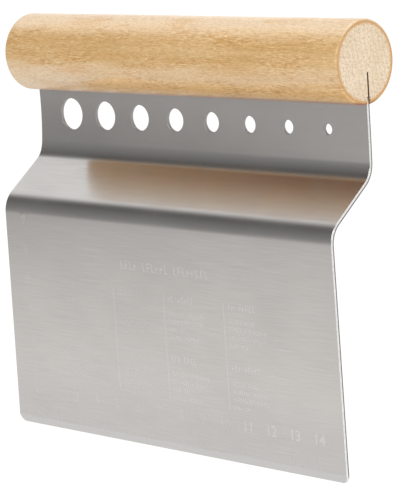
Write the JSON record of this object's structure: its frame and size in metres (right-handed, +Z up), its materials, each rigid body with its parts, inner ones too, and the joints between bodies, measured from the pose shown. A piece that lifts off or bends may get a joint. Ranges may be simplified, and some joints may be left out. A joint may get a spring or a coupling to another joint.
{
  "type": "bench scraper",
  "caption": "Bench scraper: stepped stainless blade with a graduated row of holes and a bevelled lower edge, bonded into a kerf in a round wooden handle.",
  "frame": {"origin": "middle of the scraping edge, on the narrow flat that the bevel leaves", "axes": "+X along the handle, level with the blade at that end; -Y the front, where the bevel and the etched rulers are; +Z up, from the scraping edge to the handle"},
  "size_m": [0.151, 0.032, 0.1387],
  "materials": {
    "steel": "satin, brushed along the width",
    "beech": "lacquered satin",
    "adhesive": "cured amber resin"
  },
  "bodies": {
    "root": {"blade": "steel", "handle": "beech", "bond_line": "adhesive"}
  },
  "joints": []
}
